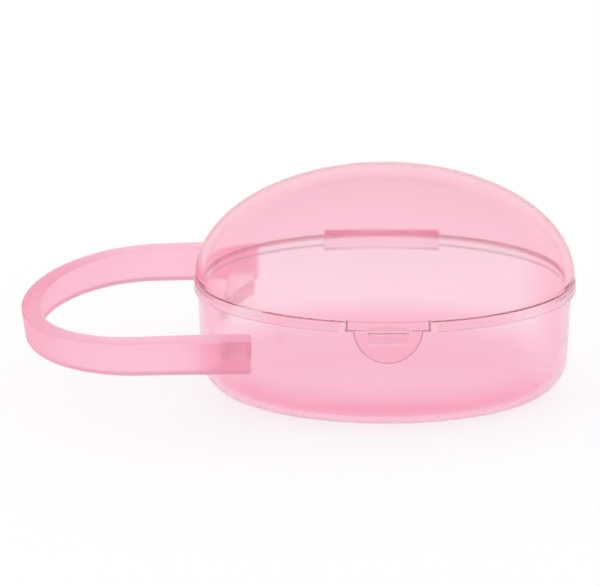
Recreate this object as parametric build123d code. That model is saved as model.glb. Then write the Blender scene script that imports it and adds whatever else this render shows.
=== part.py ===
from build123d import *
import os
from math import radians, sqrt, tan

# Pocket steriliser case for one soother: an oval base, a domed lid on a film hinge, a snap tab
# at the front and a strap loop at one end. Millimetres, +Z up, +X away from the loop, -Y towards
# the snap tab. The origin is the centre of the flat underside.

# ---- driving dimensions ------------------------------------------------------------------

# oval body, measured over the top of the rim band
body_length = 80.0
body_depth = 56.0

# base
base_height = 25.0          # underside to the top of the rim
base_wall = 1.3
base_floor = 1.4
wall_draft = 2.0            # degrees, the base narrows downwards
bottom_radius = 7.6

# rim of the base
band_height = 2.35
band_proud = 0.6            # how far the band stands out from the wall
band_flare = 0.2            # the band stands out this much more at its lower edge
band_round = 0.3
lap_depth = 1.0             # step inside the rim that takes the lid's lip
lap_lip = 0.95              # thickness left outside the step, band included

# lid
dome_rise = 23.5            # lid edge to crown, outside
dome_crown_wall = 1.4
dome_inset = 0.15           # the lid edge sits this far inside the band face
dome_edge_round = 0.25
seam_gap = 0.1              # between the rim and the lid edge
lip_gap = 0.1               # round the lid's lip and under it

# snap tab
tab_radius = 7.15
tab_centre_drop = 1.5       # centre of the tab's round end below the rim
tab_lean = 5.0              # degrees, the tab stands out towards its tip
tab_root_width = 17.1
tab_root_height = 2.15      # root block below the rim
tab_root_wall = 0.85
tab_stand_off = 0.3         # tab's inner face inside the band face

# notch in the rim that holds the tab's root
notch_gap = 0.15            # beside the root block
notch_floor_gap = 0.2       # under the root block
notch_bevel = 1.2           # length of the bevelled band ends beside the notch

# catch that the tab snaps over
catch_width = 8.2
catch_height = 2.15
catch_gap = 0.05            # catch face to the tab's inner face
hook_height = 0.7
hook_bite = 0.2             # how far the hook reaches under the catch
hook_gap = 0.15             # hook to the underside of the catch
web_width = 8.8             # half-moon web that backs the catch
web_depth = 2.4
web_height = 1.0

# film hinge
hinge_width = 25.2
hinge_proud = 0.75          # flat back face of the hinge behind the band at mid-width
hinge_bar_height = 1.8
hinge_skirt_height = 1.6
hinge_skirt_proud = 0.1
hinge_ledge_height = 0.45
hinge_film = 0.25           # thickness of the flexing film
hinge_film_lap = 0.6        # how far the film laps down over the bar

# strap loop
loop_overhang = 36.5        # top edge of the bow beyond the end of the body
loop_side_gap = 3.0         # outer faces of the legs beyond the sides of the body
loop_bow_length = 26.7
loop_grip = 12.4            # how far the legs reach back beside the body
loop_leg_wall = 4.9
loop_bow_wall = 3.8
loop_draft = 7.0            # degrees, the outer face leans in towards the bottom
loop_drop = 3.0             # leg tops below the rim
loop_leg_height = 7.4
loop_bow_height = 6.3
loop_sag = 2.6              # the bow hangs this much lower than the legs
loop_edge_round = 0.4

# feet between the loop's legs and the wall
foot_length = 5.5
foot_height = 3.6
foot_drop = 1.4             # foot below the leg top
foot_setback = 0.6          # foot from the leg's square end
foot_slope = 23.0           # degrees, the foot falls towards the wall
foot_splay = 8.0            # degrees, the foot widens towards the wall

# ---- levels and faces worked out from them -----------------------------------------------

half_length = body_length / 2
half_depth = body_depth / 2
rim_z = base_height
lid_z = rim_z + seam_gap
rim_inset = band_proud + base_wall                # inner face of the wall at the rim
notch_floor_z = rim_z - tab_root_height - notch_floor_gap
catch_z = notch_floor_z - catch_height
tab_centre_z = rim_z - tab_centre_drop
tab_tip_z = tab_centre_z - tab_radius
hinge_y = half_depth + hinge_proud
case_top_z = lid_z + dome_rise
loop_reach = half_length + loop_overhang          # top edge of the bow, from the centre
loop_half_width = half_depth + loop_side_gap
leg_end = half_length - loop_grip                 # square ends of the legs, from the centre


# ---- shapes shared by the pieces ---------------------------------------------------------

def oval(inset, z):
    """Oval section of the body, inset from the band face, at height z."""
    return Pos(0, 0, z) * Ellipse(half_length - inset, half_depth - inset)


def oval_y(x, inset):
    """Half depth of that oval at x."""
    return (half_depth - inset) * sqrt(1 - (x / (half_length - inset)) ** 2)


def oval_between(bottom_inset, bottom_z, top_inset, top_z):
    """Solid between two ovals."""
    return loft([oval(bottom_inset, bottom_z), oval(top_inset, top_z)])


def block(x0, x1, y0, y1, z0, z1):
    """Box between two corners."""
    centre = Pos((x0 + x1) / 2, (y0 + y1) / 2, (z0 + z1) / 2)
    return centre * Box(x1 - x0, y1 - y0, z1 - z0)


def front_block(width, z0, z1):
    """Box over the front half of the case, centred left to right."""
    return block(-width / 2, width / 2, -body_depth, 0, z0, z1)


def dome(inset, rise):
    """Half ellipsoid on the lid's seam, inset from the band face."""
    ball = scale(Sphere(1), by=(half_length - inset, half_depth - inset, rise))
    above = block(-body_length, body_length, -body_depth, body_depth, 0, body_length)
    return Pos(0, 0, lid_z) * (ball & above)


def cross_bar(points, width):
    """Bar across the case, from its outline as (y, z) points."""
    outline = Polyline([(0, y, z) for y, z in points], close=True)
    return Pos(-width / 2, 0, 0) * extrude(make_face(outline), amount=width, dir=(1, 0, 0))


def tub(inset, floor_z, radius):
    """Filled oval tub with drafted sides and a rounded lower edge."""
    narrowing = (rim_z - floor_z) * tan(radians(wall_draft))
    body = oval_between(inset + narrowing, floor_z, inset, rim_z)
    return fillet(body.edges().group_by(Axis.Z)[0], radius)


def one_solid(shape):
    """The single solid of a result."""
    solids = shape.solids()
    if len(solids) != 1:
        raise ValueError(f"expected one solid and got {len(solids)}")
    return solids[0]


base_outer = tub(band_proud, 0, bottom_radius)
base_hollow = tub(rim_inset, base_floor, bottom_radius - base_wall)


def notch_outline():
    """Plan of the front notch; outside the wall it widens, which bevels the band's ends."""
    half = tab_root_width / 2 + notch_gap
    wall_y = -oval_y(half, band_proud)
    face_y = -body_depth
    wide = half + (wall_y - face_y) * notch_bevel / band_proud
    return make_face(Polyline([(-wide, face_y), (-half, wall_y), (-half, 0),
                               (half, 0), (half, wall_y), (wide, face_y)], close=True))


# ---- base --------------------------------------------------------------------------------

def base_shell():
    """Floor, wall and stepped rim."""
    lap = oval_between(lap_lip, rim_z - lap_depth, lap_lip, lid_z)
    notch = Pos(0, 0, notch_floor_z) * extrude(notch_outline(), amount=lid_z - notch_floor_z)
    return one_solid(base_outer - base_hollow - lap - notch)


def rim_band(side):
    """Half of the band round the rim, from the notch to the hinge; side is -1 or 1 along X."""
    bottom_z = rim_z - band_height
    wall_inset = band_proud + band_height * tan(radians(wall_draft))
    ring = oval_between(-band_flare, bottom_z, 0, rim_z)
    ring -= oval_between(wall_inset, bottom_z, band_proud, rim_z)
    plan = Pos(body_length / 2, 0) * Rectangle(body_length, 2 * body_depth)
    plan -= Pos(0, body_depth / 2) * Rectangle(hinge_width, body_depth)
    plan -= notch_outline()
    band = one_solid(ring & extrude(plan, amount=case_top_z))
    top_edges = band.edges().group_by(Axis.Z)[-1]
    outermost = top_edges.sort_by(lambda edge: edge.bounding_box().max.X)[-1]
    band = one_solid(fillet(outermost, band_round))
    return mirror(band, about=Plane.YZ) if side < 0 else band


def catch_rib():
    """Rib under the notch that the tab's hook snaps behind."""
    face = tab_stand_off + catch_gap
    rib = oval_between(face, catch_z, face, notch_floor_z)
    rib = chamfer(rib.edges().group_by(Axis.Z)[-1], hook_bite)
    return one_solid((rib & front_block(catch_width, 0, rim_z)) - base_outer)


def catch_web():
    """Half-moon web inside the wall, just under the notch floor."""
    moon = Pos(0, -half_depth + rim_inset) * Ellipse(web_width / 2, web_depth)
    slab = Pos(0, 0, notch_floor_z - web_height) * extrude(moon, amount=web_height)
    return one_solid(slab & base_hollow)


def hinge_bar():
    """Straight bar behind the rim, with a sloping skirt under it."""
    bar_z = rim_z - hinge_bar_height
    skirt_z = bar_z - hinge_skirt_height
    outline = [(0, rim_z), (hinge_y, rim_z), (hinge_y, bar_z),
               (half_depth + hinge_skirt_proud, skirt_z), (0, skirt_z)]
    return one_solid(cross_bar(outline, hinge_width) - base_outer)


def hinge_film_strip():
    """Thin film over the back of the bar and the ledge."""
    outline = [(hinge_y, rim_z - hinge_film_lap), (hinge_y, lid_z + hinge_ledge_height),
               (hinge_y + hinge_film, lid_z + hinge_ledge_height),
               (hinge_y + hinge_film, rim_z - hinge_film_lap)]
    return one_solid(cross_bar(outline, hinge_width))


# ---- strap loop --------------------------------------------------------------------------

loop_bow_x = -(loop_reach - loop_bow_length)      # where the bow begins
loop_top_z = rim_z - loop_drop
leg_inner_y = loop_half_width - loop_leg_wall
draft_at_bow = loop_sag * tan(radians(loop_draft))


def loop_plan(leg_inset, bow_inset):
    """Outline of the loop at the level of the leg tops: two straight legs and a bow."""
    half = loop_half_width - leg_inset
    bow = loop_bow_length - bow_inset
    legs = Pos((loop_bow_x - leg_end) / 2, 0) * Rectangle(-leg_end - loop_bow_x, 2 * half)
    bow_side = Pos(loop_bow_x - bow, 0) * Rectangle(2 * bow, 2 * half)
    return legs + (Pos(loop_bow_x, 0) * Ellipse(bow, half) & bow_side)


def sagging_line(start_z, end_z):
    """Level at the leg ends and falling ever faster towards the bow."""
    end_x = -loop_reach - draft_at_bow
    return Bezier((-leg_end, start_z), ((end_x - leg_end) / 2, start_z), (end_x, end_z))


def loop_side():
    """Side view of the strap, drawn right across the case."""
    bow_top_z = loop_top_z - loop_sag
    top = sagging_line(loop_top_z, bow_top_z)
    bottom = sagging_line(loop_top_z - loop_leg_height, bow_top_z - loop_bow_height)
    outline = Curve() + [top, bottom, Line(top @ 0, bottom @ 0), Line(top @ 1, bottom @ 1)]
    return extrude(Plane.XZ * make_face(outline), amount=body_depth, both=True)


def handle_loop():
    """Strap loop with a drafted outer face, square leg ends and softened edges."""
    tall = loop_leg_height + loop_sag
    outside = extrude(loop_plan(0, -draft_at_bow), amount=-tall, taper=loop_draft)
    opening = extrude(loop_plan(loop_leg_wall, loop_bow_wall), amount=-tall)
    opening += Pos(leg_end, 0, 0) * opening
    loop = one_solid(Pos(0, 0, loop_top_z) * (outside - opening) & loop_side())
    return one_solid(fillet(loop.edges(), loop_edge_round))


def handle_foot(side):
    """Sloping foot that carries one leg of the loop; side is -1 at the front, 1 at the rear."""
    root_x = -leg_end - foot_setback
    spread = leg_inner_y * tan(radians(foot_splay))
    plan = Polyline([(root_x, leg_inner_y), (root_x - foot_length, leg_inner_y),
                     (root_x - foot_length - spread, 0), (root_x, 0)], close=True)
    top_z = loop_top_z - foot_drop
    fall = leg_inner_y * tan(radians(foot_slope))
    slope = cross_bar([(0, top_z - fall), (leg_inner_y, top_z), (leg_inner_y, top_z - foot_height),
                       (0, top_z - fall - foot_height)], 2 * body_length)
    foot = one_solid((extrude(make_face(plan), amount=base_height) & slope) - base_outer)
    return mirror(foot, about=Plane.XZ) if side < 0 else foot


# ---- lid ---------------------------------------------------------------------------------

def lid_shell():
    """Domed shell, its inner face flush with the inside of the base at the seam."""
    outside = dome(dome_inset, dome_rise)
    outside = fillet(outside.edges().group_by(Axis.Z)[0], dome_edge_round)
    return one_solid(outside - dome(rim_inset, dome_rise - dome_crown_wall))


def lid_lip():
    """Lip under the lid that drops into the step of the rim."""
    lip_z = rim_z - lap_depth + lip_gap
    outside = oval_between(lap_lip + lip_gap, lip_z, lap_lip + lip_gap, lid_z)
    return one_solid(outside - oval_between(rim_inset, lip_z, rim_inset, lid_z))


def hinge_ledge():
    """Straight ledge behind the lid's edge, the upper half of the hinge."""
    top_z = lid_z + hinge_ledge_height
    outline = [(0, lid_z), (hinge_y, lid_z), (hinge_y, top_z), (0, top_z)]
    return one_solid(cross_bar(outline, hinge_width) - lid_shell() - dome(rim_inset, dome_rise))


# ---- snap tab ----------------------------------------------------------------------------

def tab_outer_inset(z):
    """Inset of the tab's outer face at height z."""
    return dome_inset - (lid_z - z) * tan(radians(tab_lean))


def latch_tab():
    """Round tab under the lid's front edge with a thicker root that fills the notch."""
    disc = Pos(0, tab_centre_z) * Circle(tab_radius)
    root = Pos(0, (lid_z + rim_z - tab_root_height) / 2)
    root *= Rectangle(tab_root_width, lid_z - rim_z + tab_root_height)
    below_lid = Pos(0, lid_z - body_depth / 2) * Rectangle(body_length, body_depth)
    outline = extrude(Plane.XZ * ((disc + root) & below_lid), amount=body_depth)
    leaning = oval_between(tab_outer_inset(0), 0, tab_outer_inset(lid_z), lid_z)
    plate = leaning - oval_between(tab_stand_off, 0, tab_stand_off, lid_z)
    root_wall = dome_inset + tab_root_wall
    block_behind = oval_between(tab_stand_off, 0, tab_stand_off, lid_z)
    block_behind -= oval_between(root_wall, 0, root_wall, lid_z)
    block_behind &= front_block(tab_root_width, rim_z - tab_root_height, lid_z)
    return one_solid((plate & outline) + block_behind)


def latch_hook():
    """Hook inside the tab that snaps behind the catch."""
    top_z = catch_z - hook_gap
    reach = tab_stand_off + catch_gap + hook_bite
    hook = oval_between(tab_stand_off, top_z - hook_height, tab_stand_off, top_z)
    hook -= oval_between(reach, top_z - hook_height, reach, top_z)
    return one_solid(hook & front_block(catch_width, 0, rim_z))


# ---- write one file for each piece -------------------------------------------------------

pieces = {
    "base_shell": base_shell(),
    "rim_band_plain_end": rim_band(1),
    "rim_band_loop_end": rim_band(-1),
    "catch_rib": catch_rib(),
    "catch_web": catch_web(),
    "hinge_bar": hinge_bar(),
    "hinge_film": hinge_film_strip(),
    "handle_loop": handle_loop(),
    "handle_foot_front": handle_foot(-1),
    "handle_foot_rear": handle_foot(1),
    "lid_shell": lid_shell(),
    "lid_lip": lid_lip(),
    "hinge_ledge": hinge_ledge(),
    "latch_tab": latch_tab(),
    "latch_hook": latch_hook(),
}

os.makedirs("parts", exist_ok=True)
for name, piece in pieces.items():
    export_step(piece, f"parts/{name}.step")
    print(f"{name}: {piece.volume:.1f} mm3")
print(f"case height {case_top_z:.1f}, length {loop_reach + half_length + band_flare:.1f}")
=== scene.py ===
from math import acos, cos, degrees, hypot, pi, radians, sin, sqrt, tan

import bmesh
import bpy
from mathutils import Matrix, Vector


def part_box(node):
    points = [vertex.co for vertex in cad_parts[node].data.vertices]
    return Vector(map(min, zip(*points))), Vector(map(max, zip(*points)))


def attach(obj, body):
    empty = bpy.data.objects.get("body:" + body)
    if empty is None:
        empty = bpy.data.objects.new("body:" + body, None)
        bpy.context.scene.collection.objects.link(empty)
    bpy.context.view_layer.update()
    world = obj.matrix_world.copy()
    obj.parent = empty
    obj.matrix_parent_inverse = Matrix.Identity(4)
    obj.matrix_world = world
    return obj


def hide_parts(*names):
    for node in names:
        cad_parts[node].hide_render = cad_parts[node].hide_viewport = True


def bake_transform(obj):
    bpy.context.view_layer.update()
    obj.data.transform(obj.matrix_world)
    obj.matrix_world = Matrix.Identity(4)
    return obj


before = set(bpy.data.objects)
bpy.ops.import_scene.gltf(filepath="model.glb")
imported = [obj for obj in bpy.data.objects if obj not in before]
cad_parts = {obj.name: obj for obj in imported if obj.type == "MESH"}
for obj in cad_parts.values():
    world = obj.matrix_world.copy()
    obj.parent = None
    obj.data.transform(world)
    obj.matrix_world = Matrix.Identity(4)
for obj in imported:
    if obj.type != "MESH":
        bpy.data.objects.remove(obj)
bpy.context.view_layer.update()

scene = bpy.context.scene
mm = 0.001


def boxOf(node):
    # two corners of a node of the frame, in mm
    low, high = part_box(node)
    return [v / mm for v in low], [v / mm for v in high]


lidLow, lidHigh = boxOf("lid_shell")
baseLow, baseHigh = boxOf("base_shell")
bandLow, bandHigh = boxOf("rim_band_plain_end")
loopLow, loopHigh = boxOf("handle_loop")
tabLow, tabHigh = boxOf("latch_tab")
hookLow, hookHigh = boxOf("latch_hook")
ribLow, ribHigh = boxOf("catch_rib")
webLow, webHigh = boxOf("catch_web")
barLow, barHigh = boxOf("hinge_bar")
ledgeLow, ledgeHigh = boxOf("hinge_ledge")
filmLow, filmHigh = boxOf("hinge_film")
footLow, footHigh = boxOf("handle_foot_rear")

# all sizes are in mm, and an inset counts inwards from the face of the rim band
case = {
    "bandProud": 0.6,
    "draft": radians(2.0),
    "rimZ": baseHigh[2],
    "bandZ": bandLow[2],
    "lidZ": lidLow[2],
    "rootInset": 0.8,  # inside the wall's thickness at every height, where added pieces are rooted
    "turns": 288,  # faces round the oval
}
halfLength = baseHigh[0] + case["bandProud"]
halfDepth = baseHigh[1] + case["bandProud"]


def semi(inset):
    return halfLength - inset, halfDepth - inset


def ovalY(x, inset):
    # half depth of the inset oval at x
    longAxis, shortAxis = semi(inset)
    return shortAxis * sqrt(max(0.0, 1 - (x / longAxis) ** 2))


def arc(centre, radius, start, end, steps):
    # points (inset, z) on an arc, angles from the inward direction towards up
    inset, z = centre
    turns = [radians(start + (end - start) * i / steps) for i in range(steps + 1)]
    return [(inset + radius * cos(t), z + radius * sin(t)) for t in turns]


def spread(low, high, steps):
    return [low + (high - low) * i / steps for i in range(steps + 1)]


# parts of a node tree that several trees use
def maths(tree, operation, first, second=None):
    node = tree.nodes.new("ShaderNodeMath")
    node.operation = operation
    for socket, value in zip(node.inputs, (first, second)):
        if isinstance(value, (int, float)):
            socket.default_value = value
        elif value is not None:
            tree.links.new(value, socket)
    return node.outputs[0]


def splitXYZ(tree, value):
    node = tree.nodes.new("ShaderNodeSeparateXYZ")
    tree.links.new(value, node.inputs[0])
    return node.outputs


def startTree(name, counts):
    # a mesh, the whole numbers named in counts, a weld distance and a material go in
    tree = bpy.data.node_groups.new(name, "GeometryNodeTree")
    kinds = [("Geometry", "Geometry")] + [(label, "Int") for label in counts]
    for label, kind in kinds + [("Weld Distance", "Float"), ("Material", "Material")]:
        tree.interface.new_socket(label, in_out="INPUT", socket_type="NodeSocket" + kind)
    tree.interface.new_socket("Geometry", in_out="OUTPUT", socket_type="NodeSocketGeometry")
    return tree, tree.nodes.new("NodeGroupInput").outputs


def layGrid(tree, columns, rows):
    # a sheet of points, with each point's own column and row
    grid = tree.nodes.new("GeometryNodeMeshGrid")
    tree.links.new(columns, grid.inputs["Vertices X"])
    tree.links.new(rows, grid.inputs["Vertices Y"])
    index = tree.nodes.new("GeometryNodeInputIndex").outputs[0]
    column = maths(tree, "FLOOR", maths(tree, "DIVIDE", index, rows))
    return grid.outputs["Mesh"], column, maths(tree, "MODULO", index, rows)


def sampled(tree, given, value, index, kind="FLOAT_VECTOR"):
    # the value that one point of the mesh that went in has
    node = tree.nodes.new("GeometryNodeSampleIndex")
    node.data_type = kind
    for label, source in (("Geometry", given["Geometry"]), ("Value", value), ("Index", index)):
        tree.links.new(source, node.inputs[label])
    return node.outputs[0]


def endTree(tree, given, sheet, places):
    # moves the sheet's points to their places, closes its seams and paints it
    steps = (
        ("GeometryNodeSetPosition", {"Position": places}),
        ("GeometryNodeMergeByDistance", {"Distance": given["Weld Distance"]}),
        ("GeometryNodeRealizeInstances", {}),
        ("GeometryNodeSetMaterial", {"Material": given["Material"]}),
    )
    for kind, inputs in steps:
        node = tree.nodes.new(kind)
        tree.links.new(sheet, node.inputs["Geometry"])
        for label, source in inputs.items():
            tree.links.new(source, node.inputs[label])
        sheet = node.outputs[0]
    tree.links.new(sheet, tree.nodes.new("NodeGroupOutput").inputs[0])


# how meshes are joined and shaded
making = {
    "sweepWeld": 1e-6,  # m
    "pieceWeld": 1e-7,  # m
    "crease": radians(34),  # a sharper fold than this stays sharp
    "faceWeight": 90,
}


def addObject(name, mesh):
    obj = bpy.data.objects.new(name, mesh)
    scene.collection.objects.link(obj)
    return obj


def makePlain(obj):
    # the evaluated result becomes the object's own mesh, with no modifier left
    bpy.context.view_layer.update()
    ready = obj.evaluated_get(bpy.context.evaluated_depsgraph_get())
    plain = bpy.data.meshes.new_from_object(ready)
    obj.modifiers.clear()
    obj.data = plain
    plain.name = obj.name


def facesOutward(obj):
    work = bmesh.new()
    work.from_mesh(obj.data)
    bmesh.ops.remove_doubles(work, verts=work.verts, dist=making["pieceWeld"])
    bmesh.ops.recalc_face_normals(work, faces=work.faces)
    work.to_mesh(obj.data)
    work.free()


def sweepMesh(mesh, tree, material, counts):
    values = {**counts, "Weld Distance": making["sweepWeld"], "Material": material}
    obj = addObject(mesh.name, mesh)
    sweep = obj.modifiers.new(tree.name, "NODES")
    sweep.node_group = tree
    for socket in tree.interface.items_tree:
        if socket.in_out == "INPUT" and socket.name in values:
            sweep[socket.identifier] = values[socket.name]
    makePlain(obj)
    facesOutward(obj)
    return obj


def loftRings(name, outlines):
    # closed piece through outlines of (x, y, z), with flat ends
    work = bmesh.new()
    rings = [[work.verts.new([v * mm for v in point]) for point in outline] for outline in outlines]
    count = len(rings[0])
    for near, far in zip(rings, rings[1:]):
        for i in range(count):
            j = (i + 1) % count
            work.faces.new((near[i], near[j], far[j], far[i]))
    work.faces.new(rings[0])
    work.faces.new(rings[-1])
    mesh = bpy.data.meshes.new(name)
    work.to_mesh(mesh)
    work.free()
    obj = addObject(name, mesh)
    facesOutward(obj)
    return obj


def loftAcross(name, stations, section):
    # section gives its (y, z) points at each x
    return loftRings(name, [[(x, y, z) for y, z in section(x)] for x in stations])


def combine(piece, tool, operation="UNION"):
    # a boolean that takes the tool away with it
    step = piece.modifiers.new("combine", "BOOLEAN")
    step.operation = operation
    step.solver = "EXACT"
    step.object = tool
    makePlain(piece)
    bpy.data.objects.remove(tool)
    facesOutward(piece)


def finishSurface(piece, material):
    mesh = piece.data
    mesh.materials.clear()
    mesh.materials.append(material)
    mesh.polygons.foreach_set("material_index", [0] * len(mesh.polygons))
    mesh.polygons.foreach_set("use_smooth", [True] * len(mesh.polygons))
    mesh.set_sharp_from_angle(angle=making["crease"])
    mesh.update()
    facing = piece.modifiers.new("facing", "WEIGHTED_NORMAL")
    facing.mode = "FACE_AREA"
    facing.weight = making["faceWeight"]
    facing.keep_sharp = True
    makePlain(piece)


def markFaces(piece, name, rule):
    # rule takes a face's middle in mm and its normal, and gives the mark
    mesh = piece.data
    marks = [float(rule(*[v / mm for v in f.center], f.normal)) for f in mesh.polygons]
    mesh.attributes.new(name, "FLOAT", "FACE").data.foreach_set("value", marks)
    print(piece.name, name, "faces:", sum(m > 0 for m in marks))


def turnNormals(piece, rule):
    # soft shading: rule gives the normal to shade a face with, or None to keep its own
    mesh = piece.data
    turned = [tuple(corner.vector) for corner in mesh.corner_normals]
    for f in mesh.polygons:
        found = rule(*[v / mm for v in f.center], f.normal)
        if found:
            for i in f.loop_indices:
                turned[i] = found
    mesh.normals_split_custom_set(turned)


# clear tinted plastic; heights and distances in mm
clearLook = {
    "bending": 1.49,
    "through": 1.0,
    "shine": 0.5,
    "shineTint": (1.0, 0.88, 0.92),
    "bloom": 0.2,  # a milky glow where the wall turns away
    "bloomSpread": 0.4,
    "bloomTint": (1.0, 0.55, 0.72),
    "pale": (1.0, 0.93, 0.953),
    "deep": (1.0, 0.89, 0.923),
    # painted shade: the dark lines that the edgeShade face marks lay on seams and rims
    "edge": (0.36, 0.22, 0.29),
    "thickShadeColour": (0.93, 0.40, 0.585),  # painted deeper shade on the hinge bar and the lid's ledge, where the plastic is thick
    "flowScale": 22.0,
    "flowDetail": 2.0,
    "hazeScale": 160.0,
    "hazeDetail": 3.0,
    "haze": (0.05, 0.09),
    "ripple": 0.02,
    "rippleHeight": 0.4,
    "depthColour": (1.0, 0.4, 0.61),
    "depth": 150.0,
}
lidLook = {
    **clearLook,
    "shadeByHeight": ((1.0, 0.88, 0.915), 33.0, 45.0),  # painted deeper shade towards the crown: tint, where it begins, where it is full
    "shadeByLength": ((1.0, 0.87, 0.905), 24.0, 38.0),  # painted deeper shade, the same, out from the middle
}
baseLook = {
    **clearLook,
    "pale": (0.995, 0.90, 0.932),
    "deep": (0.99, 0.865, 0.90),
    "haze": (0.12, 0.16),
    "depth": 12.0,
    # painted deeper shade towards the bottom and out towards the two ends
    "shadeByHeight": ((0.98, 0.56, 0.69), 11.5, 2.5),
    "shadeByLength": ((1.0, 0.68, 0.78), 28.0, 40.0),
    "frosted": 0.45,
    "frostColour": (1.0, 0.985, 0.99),
}
loopLook = {
    **clearLook,
    "bloom": 0.0,
    "pale": (0.985, 0.60, 0.73),
    "deep": (0.98, 0.57, 0.705),
    "haze": (0.36, 0.40),
    "depth": 30.0,
}


def noiseAt(tree, place, scale, detail):
    noise = tree.nodes.new("ShaderNodeTexNoise")
    noise.inputs["Scale"].default_value = scale
    noise.inputs["Detail"].default_value = detail
    tree.links.new(place, noise.inputs["Vector"])
    return noise.outputs["Fac"]


def mixedColour(tree, factor, first, second):
    mix = tree.nodes.new("ShaderNodeMix")
    mix.data_type = "RGBA"
    for label, colour in (("A", first), ("B", second)):
        if isinstance(colour, tuple):
            mix.inputs[label].default_value = (*colour, 1)
        else:
            tree.links.new(colour, mix.inputs[label])
    tree.links.new(factor, mix.inputs["Factor"])
    return mix.outputs["Result"]


def mixedNumber(tree, factor, first, second):
    # each of the two is a number or a socket
    mix = tree.nodes.new("ShaderNodeMix")
    for label, value in (("A", first), ("B", second)):
        if isinstance(value, float):
            mix.inputs[label].default_value = value
        else:
            tree.links.new(value, mix.inputs[label])
    tree.links.new(factor, mix.inputs["Factor"])
    return mix.outputs["Result"]


def ramp(tree, value, start, end, low=0.0, high=1.0):
    # an even rise from low to high that eases in and out
    node = tree.nodes.new("ShaderNodeMapRange")
    node.interpolation_type = "SMOOTHSTEP"
    tree.links.new(value, node.inputs["Value"])
    for label, number in (("From Min", start), ("From Max", end), ("To Min", low), ("To Max", high)):
        node.inputs[label].default_value = number
    return node.outputs["Result"]


def markOn(tree, name):
    mark = tree.nodes.new("ShaderNodeAttribute")
    mark.attribute_name = name
    return mark.outputs["Fac"]


# melt streaks, then painted shade: deeper by height and length, and the thickShade and edgeShade marks
def plasticTint(tree, look, place, flow):
    tint = mixedColour(tree, flow, look["pale"], look["deep"])
    along, _, up = splitXYZ(tree, place)
    for way, name in ((up, "shadeByHeight"), (maths(tree, "ABSOLUTE", along), "shadeByLength")):
        if name in look:
            deeper, start, full = look[name]
            tint = mixedColour(tree, ramp(tree, way, start * mm, full * mm), tint, deeper)
    tint = mixedColour(tree, markOn(tree, "thickShade"), tint, look["thickShadeColour"])
    tint = mixedColour(tree, markOn(tree, "edgeShade"), tint, look["edge"])
    if "frosted" in look:
        tint = mixedColour(tree, markOn(tree, "frost"), tint, look["frostColour"])
    return tint


def plasticGloss(tree, look, place):
    haze = tree.nodes.new("ShaderNodeMapRange")
    haze.inputs["To Min"].default_value, haze.inputs["To Max"].default_value = look["haze"]
    tree.links.new(noiseAt(tree, place, look["hazeScale"], look["hazeDetail"]), haze.inputs["Value"])
    if "frosted" in look:
        return mixedNumber(tree, markOn(tree, "frost"), haze.outputs["Result"], look["frosted"])
    return haze.outputs["Result"]


def clearPlastic(name, look):
    # streaks left by the melt, a fine haze in the gloss, and a depth colour inside
    material = bpy.data.materials.new(name)
    material.use_nodes = True
    tree = material.node_tree
    tree.nodes.clear()
    link = tree.links.new
    body = tree.nodes.new("ShaderNodeBsdfPrincipled")
    for label, key in (("IOR", "bending"), ("Transmission Weight", "through"),
                       ("Specular IOR Level", "shine"), ("Sheen Weight", "bloom"),
                       ("Sheen Roughness", "bloomSpread")):
        body.inputs[label].default_value = look[key]
    for label, key in (("Specular Tint", "shineTint"), ("Sheen Tint", "bloomTint")):
        body.inputs[label].default_value = (*look[key], 1)
    place = tree.nodes.new("ShaderNodeTexCoord").outputs["Object"]
    flow = noiseAt(tree, place, look["flowScale"], look["flowDetail"])
    link(plasticTint(tree, look, place, flow), body.inputs["Base Color"])
    link(plasticGloss(tree, look, place), body.inputs["Roughness"])
    ripple = tree.nodes.new("ShaderNodeBump")
    ripple.inputs["Strength"].default_value = look["ripple"]
    ripple.inputs["Distance"].default_value = look["rippleHeight"] * mm
    link(flow, ripple.inputs["Height"])
    link(ripple.outputs["Normal"], body.inputs["Normal"])
    depth = tree.nodes.new("ShaderNodeVolumeAbsorption")
    depth.inputs["Color"].default_value = (*look["depthColour"], 1)
    depth.inputs["Density"].default_value = look["depth"]
    out = tree.nodes.new("ShaderNodeOutputMaterial")
    link(body.outputs[0], out.inputs["Surface"])
    link(depth.outputs[0], out.inputs["Volume"])
    return material


lidPlastic = clearPlastic("lidPlastic", lidLook)
basePlastic = clearPlastic("basePlastic", baseLook)
loopPlastic = clearPlastic("loopPlastic", loopLook)
print("materials ready")


# the two shells are profiles carried round the oval
def buildOvalSweep():
    # the profile's own points hold the half length, half depth and height of each oval
    tree, given = startTree("ovalSweep", ("Profile Points", "Faces Round"))
    columns = maths(tree, "ADD", given["Faces Round"], 1)
    sheet, column, row = layGrid(tree, columns, given["Profile Points"])
    turn = maths(tree, "MULTIPLY", maths(tree, "DIVIDE", column, given["Faces Round"]), 2 * pi)
    points = tree.nodes.new("GeometryNodeInputPosition").outputs[0]
    long, short, height = splitXYZ(tree, sampled(tree, given, points, row))
    place = tree.nodes.new("ShaderNodeCombineXYZ")
    tree.links.new(maths(tree, "MULTIPLY", long, maths(tree, "COSINE", turn)), place.inputs[0])
    tree.links.new(maths(tree, "MULTIPLY", short, maths(tree, "SINE", turn)), place.inputs[1])
    tree.links.new(height, place.inputs[2])
    endTree(tree, given, sheet, place.outputs[0])
    return tree


ovalSweep = buildOvalSweep()


def sweepOval(name, profile, material):
    # profile: (half length, half depth, z) from pole to pole, or closed
    mesh = bpy.data.meshes.new(name)
    points = [tuple(v * mm for v in p) for p in profile]
    mesh.from_pydata(points, [(i, i + 1) for i in range(len(points) - 1)], [])
    counts = {"Profile Points": len(points), "Faces Round": case["turns"]}
    return sweepMesh(mesh, ovalSweep, material, counts)


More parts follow.
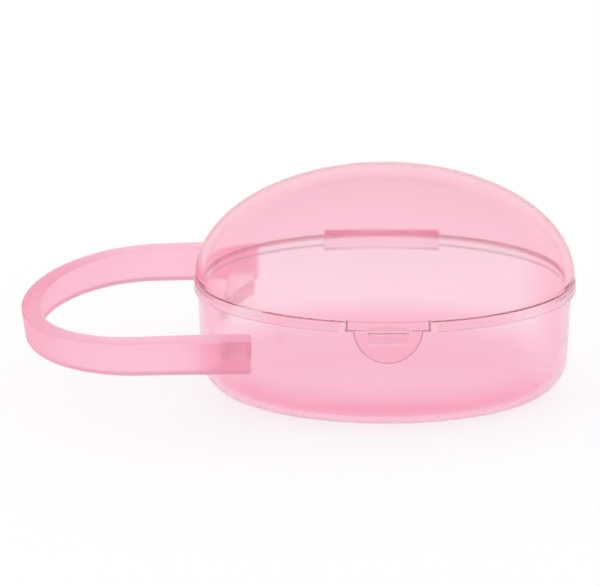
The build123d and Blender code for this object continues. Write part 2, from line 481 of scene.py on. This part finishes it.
# base moulding: tub, rim band, lap step, catch, hinge bar and feet
base = {
    "wall": 1.3,
    "floorZ": baseLow[2] + 1.4,
    "bottomRadius": 7.6,
    "innerRadius": 6.3,
    "bandFlare": bandHigh[0] - halfLength,
    "bandTopRound": 0.3,
    "bandLowerRound": 0.14,
    "bandLine": 0.36,  # height of the painted shade line along the band's lower edge
    "bandShade": 0.45,
    "lapLip": 0.95,
    "lapDepth": 0.42,
    "edgeRound": 0.08,
    "rowsFrom": 1.5,  # the wall's rows of faces keep this far from its curves
    "innerRowsFrom": 1.0,
    "rows": 6,
    "innerRows": 5,
    "bottomSteps": 22,
    "innerSteps": 18,
    "bandTopSteps": 6,
    "bandLowerSteps": 4,
    "edgeSteps": 3,
    "seatRise": 0.15,  # how far the seat's shading looks up from the band's face
    "seatFrom": 0.05,
}


def wallInset(z):
    return case["bandProud"] + (case["rimZ"] - z) * tan(case["draft"])


def innerInset(z):
    return base["wall"] + wallInset(z)


def ring(point):
    inset, z = point
    return (*semi(inset), z)


def baseProfile():
    rimZ, bandZ, draft = case["rimZ"], case["bandZ"], case["draft"]
    outer, inner = base["bottomRadius"], base["innerRadius"]
    outerCentre = (wallInset(outer) + outer / cos(draft), outer)
    innerTop = base["floorZ"] + inner
    innerCentre = (innerInset(innerTop) + inner / cos(draft), innerTop)
    low, top, edge = base["bandLowerRound"], base["bandTopRound"], base["edgeRound"]
    flare, lip, lapZ = base["bandFlare"], base["lapLip"], rimZ - base["lapDepth"]
    wallRows = spread(outer + base["rowsFrom"], bandZ, base["rows"])
    innerRows = spread(lapZ - base["rowsFrom"], innerTop + base["innerRowsFrom"], base["innerRows"])
    slope, small = 180 + degrees(draft), base["edgeSteps"]
    path = arc(outerCentre, outer, 270, slope, base["bottomSteps"])
    path += [(wallInset(z), z) for z in wallRows]
    path += arc((low - flare, bandZ + low), low, 270, 180, base["bandLowerSteps"])
    path += [(-flare, bandZ + base["bandLine"])]
    path += arc((top, rimZ - top), top, 180, 90, base["bandTopSteps"])
    path += arc((lip - edge, rimZ - edge), edge, 90, 0, small)
    path += [(lip, lapZ)]
    path += arc((innerInset(lapZ) - edge, lapZ - edge), edge, 90, 0, small)
    path += [(innerInset(z), z) for z in innerRows]
    path += arc(innerCentre, inner, slope, 270, base["innerSteps"])
    return [(0, 0, 0)] + [ring(p) for p in path] + [(0, 0, base["floorZ"])]


notch = {
    "half": tabHigh[0] + 0.15,
    "bevel": 1.2,
    "clear": 2.0,  # how far its cutter stands above the rim
    "outside": 2 * halfDepth,  # well past the band
    "endShade": 0.8,
}


def notchCutter():
    half, face = notch["half"], -notch["outside"]
    wallY = -ovalY(half, case["bandProud"])
    wide = half + (wallY - face) * notch["bevel"] / case["bandProud"]
    plan = [(-wide, face), (-half, wallY), (-half, 0), (half, 0), (half, wallY), (wide, face)]
    return loftRings("notchCutter", [[(x, y, z) for x, y in plan]
                                     for z in (case["bandZ"], case["rimZ"] + notch["clear"])])


catch = {
    "face": 0.35,  # inset of the rib's face
    "leadIn": 0.2,
    "settle": 0.02,  # keeps its top just under the notch floor
    "webRoot": 1.5,
    "webWide": 0.05,
    "webThin": 0.05,  # least depth, at its two ends
    "ribSteps": 16,
    "webSteps": 24,
    "ribTopShade": 0.6,
    "ribUnderShade": 0.4,
    "ribFaceShade": 0.16,
    "webShade": 0.22,
}


def catchRib():
    low, high = ribLow[2], ribHigh[2] - catch["settle"]

    def section(x):
        face = -ovalY(x, catch["face"])
        root = -ovalY(x, case["rootInset"])
        lead = -ovalY(x, catch["face"] + catch["leadIn"])
        return [(root, low), (face, low), (face, high - catch["leadIn"]), (lead, high), (root, high)]

    return loftAcross("catchRib", spread(ribLow[0], ribHigh[0], catch["ribSteps"]), section)


def catchWeb():
    low, high = webLow[2], webHigh[2] - catch["settle"]
    half = webHigh[0] + catch["webWide"]
    middle = -ovalY(0, case["bandProud"] + base["wall"])
    depth = webHigh[1] - middle

    def section(x):
        root = -ovalY(x, catch["webRoot"])
        crest = max(middle + depth * sqrt(max(0.0, 1 - (x / half) ** 2)), root + catch["webThin"])
        return [(root, low), (crest, low), (crest, high), (root, high)]

    turns = spread(-pi / 2, pi / 2, catch["webSteps"])
    return loftAcross("catchWeb", [half * sin(turn) for turn in turns], section)


bar = {
    "step": 0.7,
    "straight": 1.8,  # height of its upright back
    "skirt": 0.65,  # how far its lower end draws in
    "steps": 32,
    "topShade": 0.9,
    "shade": 0.45,
}


def hingeBar():
    back, top, low = barHigh[1], barHigh[2], barLow[2]

    def section(x):
        root = ovalY(x, case["rootInset"])
        return [(root, top), (back, top), (back, top - bar["step"]), (back, top - bar["straight"]),
                (back - bar["skirt"], low), (root, low)]

    return loftAcross("hingeBar", spread(barLow[0], barHigh[0], bar["steps"]), section)


foot = {
    "root": footHigh[0],
    "last": footLow[0] + 0.45,  # where it has drawn in to the wall
    "length": 5.5,
    "height": 3.6,
    "drop": 1.4,
    "slope": radians(23.0),
    "splay": radians(8.0),
    "legThick": 4.9,  # of the strap's leg, which sits against it
    "gap": 0.05,
    "edge": 0.3,
    "rootInset": 1.3,
    "steps": 10,
    "tipSteps": 6,
    "edgeSteps": 3,
}


def handleFoot(side):
    legY = loopHigh[1] - foot["legThick"] - foot["gap"]
    top = loopHigh[2] - foot["drop"]
    straight = foot["root"] - foot["length"]
    edge, fall = foot["edge"], tan(foot["slope"])

    def section(x):
        # a soft corner above and below the tip, eased off again towards the foot's side
        ease = edge * max(0.0, 1 - (foot["root"] - x) / edge)
        tip = legY - ease if x >= straight else legY - (straight - x) / tan(foot["splay"])
        root = min(ovalY(x, foot["rootInset"]), tip - 2 * edge)
        high = top - ease - (footHigh[1] - tip) * fall
        low = top - foot["height"] + ease - (footHigh[1] - tip) * fall
        rootFall = (tip - root) * fall
        points = [(root, high - rootFall), (tip - edge, high - edge * fall), (tip, high - edge),
                  (tip, low + edge / 2), (tip - edge, low - edge * fall), (root, low - rootFall)]
        return [(side * y, z) for y, z in points]

    stations = spread(foot["last"], straight, foot["steps"])
    stations += spread(straight, foot["root"] - edge, foot["tipSteps"])[1:]
    stations += spread(foot["root"] - edge, foot["root"], foot["edgeSteps"])[1:]
    return loftAcross("handleFoot", stations, section)


def makeBase():
    piece = sweepOval("baseMoulding", baseProfile(), basePlastic)
    combine(piece, notchCutter(), "DIFFERENCE")
    for part in (hingeBar(), catchRib(), catchWeb(), handleFoot(-1), handleFoot(1)):
        combine(piece, part)
    finishSurface(piece, basePlastic)
    return piece


# what tells a face of one form from its neighbours: distances in mm, then shares of its normal
margin, wideMargin = 0.02, 0.1
leaning, flat = 0.3, 0.9


# painted shade on the catch: the web's top, and the rib deepest on top, less underneath, least on its face
def catchShade(x, y, normal):
    if abs(y) < ovalY(x, case["bandProud"]):
        return catch["webShade"] if normal.z > flat else 0.0
    if abs(x) > ribHigh[0] - margin:
        return 0.0
    if normal.z > leaning:
        return catch["ribTopShade"]
    return catch["ribUnderShade"] if normal.z < -leaning else catch["ribFaceShade"]


def baseEdge(x, y, z, normal):
    # painted shade lines on the lower edge of the rim band, the catch, and the upright ends of the notch
    outside = hypot(x / halfLength, y / halfDepth) > 1 - case["bandProud"] / halfLength
    if outside and case["bandZ"] - margin < z < case["bandZ"] + base["bandLine"]:
        return base["bandShade"]
    if y < 0 and abs(x) < webHigh[0] and ribLow[2] - margin < z < ribHigh[2] + margin:
        return catchShade(x, y, normal)
    onNotch = z > case["bandZ"] and y < 0 and abs(x) < notch["half"] + wideMargin
    return notch["endShade"] if onNotch and abs(normal.x) > flat else 0.0


def baseThick(x, y, z, normal):
    # painted shade on the hinge bar, deepest at its top
    onBar = y > ovalY(x, 0) and abs(x) < barHigh[0] + margin and z > barLow[2] - margin
    return onBar * (bar["topShade"] if z > barHigh[2] - bar["step"] else bar["shade"])


def onFoot(x, y, z, normal):
    outside = abs(y) > ovalY(x, case["bandProud"] - wideMargin)
    return outside and x < footHigh[0] + margin and footLow[2] - wideMargin < z < footHigh[2] + wideMargin


def seatNormal(x, y, z, normal):
    # the seat round the lid is shaded on from the band's face
    if z > case["rimZ"] - base["bandTopRound"] and normal.z > base["seatFrom"]:
        side = Vector((x / halfLength ** 2, y / halfDepth ** 2, 0)).normalized()
        return tuple((side + Vector((0, 0, base["seatRise"]))).normalized())
    return None


baseMoulding = makeBase()
markFaces(baseMoulding, "edgeShade", baseEdge)
markFaces(baseMoulding, "thickShade", baseThick)
markFaces(baseMoulding, "frost", onFoot)
turnNormals(baseMoulding, seatNormal)
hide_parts("base_shell", "rim_band_plain_end", "rim_band_loop_end", "catch_rib",
            "catch_web", "hinge_bar", "handle_foot_front", "handle_foot_rear")
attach(baseMoulding, "base")
print("base moulding ready:", len(baseMoulding.data.polygons), "faces")


# lid moulding: dome, edge, lip, hinge ledge and snap tab
lid = {
    "edgeInset": halfLength - lidHigh[0],
    "edgeRound": 0.25,
    "edgeShade": 0.3,
    "crownWall": 1.4,
    "innerInset": case["bandProud"] + base["wall"],
    "lipInset": 1.05,
    "lipChamfer": 0.1,
    "lipDrop": 0.4,
    "rise": lidHigh[2] - lidLow[2],
    "domeSteps": 44,
    "edgeSteps": 5,
    "ledgeSteps": 32,
}


def domeRing(inset, rise, turn):
    longAxis, shortAxis = semi(inset)
    return (longAxis * cos(turn), shortAxis * cos(turn), case["lidZ"] + rise * sin(turn))


def lidProfile():
    lidZ, edge, steps = case["lidZ"], lid["edgeRound"], lid["domeSteps"]
    inset, chamfer, lipZ = lid["edgeInset"], lid["lipChamfer"], case["lidZ"] - lid["lipDrop"]
    outside = [domeRing(inset, lid["rise"], turn) for turn in spread(pi / 2, edge / lid["rise"], steps)]
    under = arc((inset + edge, lidZ + edge), edge, 180, 270, lid["edgeSteps"])
    under += [(lid["lipInset"], lidZ), (lid["lipInset"], lipZ + chamfer),
              (lid["lipInset"] + chamfer, lipZ), (lid["innerInset"] - chamfer, lipZ),
              (lid["innerInset"], lipZ + chamfer)]
    rise = lid["rise"] - lid["crownWall"]
    inside = [domeRing(lid["innerInset"], rise, turn) for turn in spread(0, pi / 2, steps)]
    return outside + [ring(p) for p in under] + inside


def hingeLedge():
    back, low, high = ledgeHigh[1], ledgeLow[2], ledgeHigh[2]

    def section(x):
        root = ovalY(x, case["rootInset"])
        return [(root, low), (back, low), (back, high), (root, high)]

    return loftAcross("hingeLedge", spread(ledgeLow[0], ledgeHigh[0], lid["ledgeSteps"]), section)


tab = {
    "radius": 7.15,
    "centreZ": tabLow[2] + 7.15,
    "lean": radians(5.0),
    "rootHalf": tabHigh[0],
    "rootZ": case["rimZ"] - 2.15,
    "rootInner": 1.0,
    "innerInset": 0.3,
    "intoLid": 0.35,
    "edge": 0.3,
    "edgeTurns": (0, 30, 60, 90),
    "proud": 0.005,
    "rimSteps": 48,
    "wingSteps": (0.35, 0.7, 1.0),
    "rimShade": 0.9,
    "wingShade": 0.7,
    "faceTurn": 0.99,  # a face that looks further aside than this is on the rounded rim
}
hook = {
    "intoTab": 0.1,
    "reach": 0.25,
    "tipHeight": 0.15,
    "steps": 12,
}


def tabFaceInset(z):
    # leans out from the lid's lower edge and stands a touch proud of the dome above it
    return lid["edgeInset"] - tab["proud"] - max(0.0, case["lidZ"] - z) * tan(tab["lean"])


def tabOutline():
    # (x, z) on the rim from end to end, each with the point where the rounded edge meets the face
    edge, radius, middle, rootZ = tab["edge"], tab["radius"], tab["centreZ"], tab["rootZ"]
    inside = radius - edge
    end, endInside = acos((middle - rootZ) / radius), acos((middle - rootZ - edge) / inside)
    rim = []
    for share in spread(-1, 1, tab["rimSteps"]):
        turn, turnInside = share * end, share * endInside
        rim.append(((radius * sin(turn), middle - radius * cos(turn)),
                    (inside * sin(turnInside), middle - inside * cos(turnInside))))
    joinX, joinInside = radius * sin(end), inside * sin(endInside)
    wing = [((joinX + (tab["rootHalf"] - joinX) * t, rootZ),
             (joinInside + (tab["rootHalf"] - edge - joinInside) * t, rootZ + edge))
            for t in tab["wingSteps"]]
    other = [((-x, z), (-xIn, zIn)) for (x, z), (xIn, zIn) in reversed(wing)]
    return other + rim + wing


def snapTab():
    lidZ, rootZ, edge = case["lidZ"], tab["rootZ"], tab["edge"]
    top = lidZ + tab["intoLid"]
    rings = []
    for (x, z), (xIn, zIn) in tabOutline():
        back, root = -ovalY(x, tab["innerInset"]), -ovalY(x, tab["rootInner"])
        points = [(xIn, -ovalY(xIn, tabFaceInset(high)), high) for high in (top, lidZ)]
        for turn in tab["edgeTurns"]:
            part, drop = sin(radians(turn)), edge * (1 - cos(radians(turn)))
            atX, atZ = xIn + (x - xIn) * part, zIn + (z - zIn) * part
            points.append((atX, drop - ovalY(atX, tabFaceInset(atZ)), atZ))
        points += [(x, back, z), (x, back, rootZ), (x, root, rootZ), (x, root, top)]
        rings.append(points)
    return loftRings("snapTab", rings)


def tabHook():
    low, high = hookLow[2], hookHigh[2]

    def section(x):
        front = -ovalY(x, tab["innerInset"] - hook["intoTab"])
        tip = -ovalY(x, tab["innerInset"] + hook["reach"])
        return [(front, low), (front, high), (tip, high), (tip, high - hook["tipHeight"])]

    return loftAcross("tabHook", spread(hookLow[0], hookHigh[0], hook["steps"]), section)


def makeLid():
    piece = sweepOval("lidMoulding", lidProfile(), lidPlastic)
    for part in (hingeLedge(), snapTab(), tabHook()):
        combine(piece, part)
    finishSurface(piece, lidPlastic)
    return piece


def tabShade(x, z, normal):
    edge = tab["edge"]
    if z > tab["rootZ"]:
        if abs(x) > tab["rootHalf"] - edge - margin:
            return tab["rimShade"]
        onWing = z < tab["rootZ"] + edge and abs(x) > tab["radius"] - edge
        return tab["wingShade"] if onWing else 0.0
    onRim = hypot(x, z - tab["centreZ"]) > tab["radius"] - edge - margin
    return tab["rimShade"] if onRim and abs(normal.y) < tab["faceTurn"] else 0.0


def lidEdge(x, y, z, normal):
    # painted shade lines on the rim of the tab with its two wings, and on the lower edge of the dome
    edge, edgeTop = lid["edgeRound"], case["lidZ"] + lid["edgeRound"]
    if y < 0 and abs(x) < tab["rootHalf"] + margin and z < edgeTop:
        return tabShade(x, z, normal)
    outside = abs(y) > ovalY(x, lid["edgeInset"] + edge + margin)
    return lid["edgeShade"] if outside and case["lidZ"] - margin < z < edgeTop else 0.0


# painted shade on the lid's hinge ledge
def onLedge(x, y, z, normal):
    outside = y > ovalY(x, lid["edgeInset"] + lid["edgeRound"] + margin)
    return outside and abs(x) < ledgeHigh[0] + margin and z < ledgeHigh[2] + margin


lidMoulding = makeLid()
markFaces(lidMoulding, "edgeShade", lidEdge)
markFaces(lidMoulding, "thickShade", onLedge)
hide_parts("lid_shell", "lid_lip", "hinge_ledge", "latch_tab", "latch_hook")
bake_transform(lidMoulding)
print("lid moulding ready:", len(lidMoulding.data.polygons), "faces")


# the hinge film, a thin strip
film = {
    "gap": 0.03,
    "levels": 20,
    "steps": 8,
}


def hingeFilm():
    front, back = filmLow[1] + film["gap"], filmHigh[1]
    levels = spread(filmLow[2], filmHigh[2], film["levels"])
    outline = [(front, z) for z in levels] + [(back, z) for z in reversed(levels)]
    return loftAcross("hingeFilm", spread(filmLow[0], filmHigh[0], film["steps"]), lambda x: outline)


filmStrip = hingeFilm()
finishSurface(filmStrip, basePlastic)
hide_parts("hinge_film")
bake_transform(filmStrip)
print("hinge film ready")


# the strap loop, a section carried through stations along two legs and a bow
loop = {
    "legEnd": loopHigh[0],
    "reach": -loopLow[0],
    "bowLength": 26.7,
    "outerHalf": loopHigh[1],
    "innerHalf": loopHigh[1] - 4.9,
    "bowWall": 3.8,
    "top": loopHigh[2],
    "legHeight": 7.4,
    "bowHeight": 6.3,
    "sag": 2.6,
    "draft": radians(7.0),
    "edge": 0.4,
    "edgeSteps": 5,
    "endTurns": (0, 20, 40, 60, 75, 90),
    "bowSteps": 128,
    "legSteps": 14,
    "cornerWidth": 4.6,  # the section's size where its corners have the full edge
    "cornerHeight": 7.2,
}
bowX = loop["bowLength"] - loop["reach"]


def loopLevels(x):
    # underside and top of the strap, which sags towards the bow
    share = (loop["legEnd"] - x) / (loop["legEnd"] + loop["reach"])
    fall = share * share
    low = loop["top"] - loop["legHeight"]
    bowLow = loop["top"] - loop["sag"] - loop["bowHeight"]
    return low + (bowLow - low) * fall, loop["top"] - loop["sag"] * fall


def station(inner, outer, normal, pull=0.0):
    # inner corner, then the way to the outer face at the top and at the bottom, then the rise
    low, high = loopLevels(outer[0])
    faces = []
    for z in (high, low):
        lean = (loop["top"] - z) * tan(loop["draft"]) + pull
        faces.append([o - n * lean for o, n in zip(outer, normal)])
    start = [i + n * pull for i, n in zip(inner, normal)]
    toTop, toBottom = [[f - s for f, s in zip(face, start)] for face in faces]
    return {
        "place": (*start, low + pull),
        "toOuterTop": (*toTop, 0.0),
        "toOuterBottom": (*toBottom, 0.0),
        "rise": high - low - 2 * pull,
    }


def legStations(side):
    edge, legEnd = loop["edge"], loop["legEnd"]
    turns = [radians(a) for a in loop["endTurns"]]
    places = [(legEnd - edge * (1 - cos(t)), edge * (1 - sin(t))) for t in turns]
    places += [(x, 0.0) for x in spread(legEnd - 2 * edge, bowX, loop["legSteps"])[:-1]]
    return [station((x, side * loop["innerHalf"]), (x, side * loop["outerHalf"]), (0, side), pull)
            for x, pull in places]


def bowStations():
    # the outer half oval is longer by what its draft takes off lower down
    outerLong = loop["bowLength"] + loop["sag"] * tan(loop["draft"])
    innerLong = loop["bowLength"] - loop["bowWall"]
    found = []
    for t in spread(0, pi, loop["bowSteps"]):
        c, s = cos(t), sin(t)
        slope = hypot(s * loop["outerHalf"], c * outerLong)
        normal = (-s * loop["outerHalf"] / slope, c * outerLong / slope)
        outer = (bowX - outerLong * s, loop["outerHalf"] * c)
        inner = (bowX - innerLong * s, loop["innerHalf"] * c)
        found.append(station(inner, outer, normal))
    return found


def closing(last):
    # the end face closes on its middle
    x, y, z = last["place"]
    middle = [(t + b) / 4 for t, b in zip(last["toOuterTop"], last["toOuterBottom"])]
    return {"place": (x + middle[0], y + middle[1], z + last["rise"] / 2),
            "toOuterTop": (0.0, 0.0, 0.0), "toOuterBottom": (0.0, 0.0, 0.0), "rise": 0.0}


def strapSection():
    # unit section, u across and v up, with rounded corners
    u, v = loop["edge"] / loop["cornerWidth"], loop["edge"] / loop["cornerHeight"]
    points = []
    for cornerU, cornerV, start in ((1 - u, 1 - v, 0), (u, 1 - v, 90), (u, v, 180), (1 - u, v, 270)):
        for turn in spread(start, start + 90, loop["edgeSteps"]):
            t = radians(turn)
            points.append((cornerU + u * cos(t), cornerV + v * sin(t), 0.0))
    return points + points[:1]


def buildStrapSweep():
    tree, given = startTree("strapSweep", ("Stations", "Section Points"))
    nodes, link = tree.nodes, tree.links.new
    sheet, column, row = layGrid(tree, given["Stations"], given["Section Points"])
    points = nodes.new("GeometryNodeInputPosition").outputs[0]
    # the section's points follow the stations in the same list
    across, up, _ = splitXYZ(tree, sampled(tree, given, points, maths(tree, "ADD", row, given["Stations"])))

    def atStation(name, kind="FLOAT_VECTOR"):
        node = nodes.new("GeometryNodeInputNamedAttribute")
        node.data_type = kind
        node.inputs["Name"].default_value = name
        return sampled(tree, given, node.outputs[0], column, kind)

    width = nodes.new("ShaderNodeMix")
    width.data_type = "VECTOR"
    link(up, width.inputs["Factor"])
    ends = [socket for socket in width.inputs if socket.type == "VECTOR"]
    link(atStation("toOuterBottom"), ends[-2])
    link(atStation("toOuterTop"), ends[-1])
    sideways = nodes.new("ShaderNodeVectorMath")
    sideways.operation = "SCALE"
    link([socket for socket in width.outputs if socket.type == "VECTOR"][0], sideways.inputs[0])
    link(across, sideways.inputs["Scale"])
    raised = nodes.new("ShaderNodeCombineXYZ")
    link(maths(tree, "MULTIPLY", atStation("rise", "FLOAT"), up), raised.inputs[2])
    total = sampled(tree, given, points, column)
    for part in (sideways.outputs[0], raised.outputs[0]):
        add = nodes.new("ShaderNodeVectorMath")
        link(total, add.inputs[0])
        link(part, add.inputs[1])
        total = add.outputs[0]
    endTree(tree, given, sheet, total)
    return tree


def makeStrap():
    front, rear = legStations(1), legStations(-1)
    stations = [closing(front[0])] + front + bowStations() + rear[::-1] + [closing(rear[0])]
    section = strapSection()
    mesh = bpy.data.meshes.new("strapLoop")
    path = [tuple(v * mm for v in s["place"]) for s in stations]
    mesh.from_pydata(path + section, [], [])
    for name in ("toOuterTop", "toOuterBottom"):
        values = [v * mm for s in stations for v in s[name]] + [0.0] * 3 * len(section)
        mesh.attributes.new(name, "FLOAT_VECTOR", "POINT").data.foreach_set("vector", values)
    rises = [s["rise"] * mm for s in stations] + [0.0] * len(section)
    mesh.attributes.new("rise", "FLOAT", "POINT").data.foreach_set("value", rises)
    counts = {"Stations": len(stations), "Section Points": len(section)}
    piece = sweepMesh(mesh, buildStrapSweep(), loopPlastic, counts)
    finishSurface(piece, loopPlastic)
    return piece


strapLoop = makeStrap()
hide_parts("handle_loop")
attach(strapLoop, "base")
print("strap loop ready:", len(strapLoop.data.polygons), "faces")


# camera, in metres
camera = {
    "lens": 182.4,
    "sensor": 36,
    "place": (-0.0178, -0.6006, 0.2424),
    "tilt": radians(69.78),
    "nearest": 0.01,
}
view = bpy.data.cameras.new("view")
view.lens = camera["lens"]
view.sensor_width = camera["sensor"]
view.sensor_fit = "HORIZONTAL"
view.clip_start = camera["nearest"]
viewer = bpy.data.objects.new("view", view)
viewer.location = camera["place"]
viewer.rotation_euler = (camera["tilt"], 0, 0)
scene.collection.objects.link(viewer)
scene.camera = viewer


# a white floor under an even white room
studio = {
    "floorHalf": 3,  # m
    "floorColour": 0.8,
    "floorShade": 0.3,  # how much of the floor's own light and shadow is seen on its white
    "underCase": 0.05,  # mm of air, so that the underside is seen and not the floor in its place
    "air": 1.0,
    "ceilingFrom": 0.35,
    "ceilingTo": 0.7,
    "ceilingShade": 0.66,
    "walls": 200,  # light crosses many walls of clear plastic before it is lost
}


def sentOn(tree, ray):
    # 1 for rays that a shiny or clear surface sends on
    return maths(tree, "MAXIMUM", ray.outputs["Is Glossy Ray"], ray.outputs["Is Transmission Ray"])


def greyPaper(tree, level):
    paper = tree.nodes.new("ShaderNodeBsdfDiffuse")
    paper.inputs["Color"].default_value = (level, level, level, 1)
    return paper.outputs[0]


def glow(tree, strength):
    light = tree.nodes.new("ShaderNodeEmission")
    light.inputs["Strength"].default_value = strength
    return light.outputs[0]


def mixedSurface(tree, factor, first, second):
    mix = tree.nodes.new("ShaderNodeMixShader")
    for socket, source in zip(mix.inputs, (factor, first, second)):
        tree.links.new(source, socket)
    return mix.outputs[0]


def paleFloor():
    # seen as white with a faint shadow, white in the plastic, and paper to all other light
    material = bpy.data.materials.new("paleFloor")
    material.use_nodes = True
    material.cycles.emission_sampling = "NONE"  # its glow isn't sampled as a lamp
    tree = material.node_tree
    tree.nodes.clear()
    ray = tree.nodes.new("ShaderNodeLightPath")
    bright = tree.nodes.new("ShaderNodeAddShader")
    tree.links.new(glow(tree, 1 - studio["floorShade"]), bright.inputs[0])
    tree.links.new(greyPaper(tree, studio["floorShade"]), bright.inputs[1])
    seen = mixedSurface(tree, ray.outputs["Is Camera Ray"], greyPaper(tree, studio["floorColour"]),
                        bright.outputs[0])
    both = mixedSurface(tree, sentOn(tree, ray), seen, glow(tree, 1.0))
    tree.links.new(both, tree.nodes.new("ShaderNodeOutputMaterial").inputs["Surface"])
    return material


def makeFloor():
    far, z = studio["floorHalf"], -studio["underCase"] * mm
    mesh = bpy.data.meshes.new("floor")
    mesh.from_pydata([(-far, -far, z), (far, -far, z), (far, far, z), (-far, far, z)], [], [(0, 1, 2, 3)])
    mesh.materials.append(paleFloor())
    return addObject("floor", mesh)


def softRoom():
    # white to the eye and as light; what shines in the plastic falls off towards the ceiling
    room = bpy.data.worlds.new("softRoom")
    room.use_nodes = True
    tree = room.node_tree
    air = tree.nodes["Background"]
    air.inputs["Color"].default_value = (1, 1, 1, 1)
    height = splitXYZ(tree, tree.nodes.new("ShaderNodeTexCoord").outputs["Generated"])[2]
    ceiling = ramp(tree, height, studio["ceilingFrom"], studio["ceilingTo"], studio["air"],
                   studio["ceilingShade"])
    shining = sentOn(tree, tree.nodes.new("ShaderNodeLightPath"))
    tree.links.new(mixedNumber(tree, shining, studio["air"], ceiling), air.inputs["Strength"])
    return room


floor = makeFloor()
scene.world = softRoom()
scene.view_settings.view_transform = "Standard"
scene.cycles.blur_glossy = 0.0  # light keeps its strength through many hazy walls
scene.cycles.max_bounces = studio["walls"]
scene.cycles.transmission_bounces = studio["walls"]
scene.cycles.glossy_bounces = studio["walls"]
print("camera, floor and light ready")
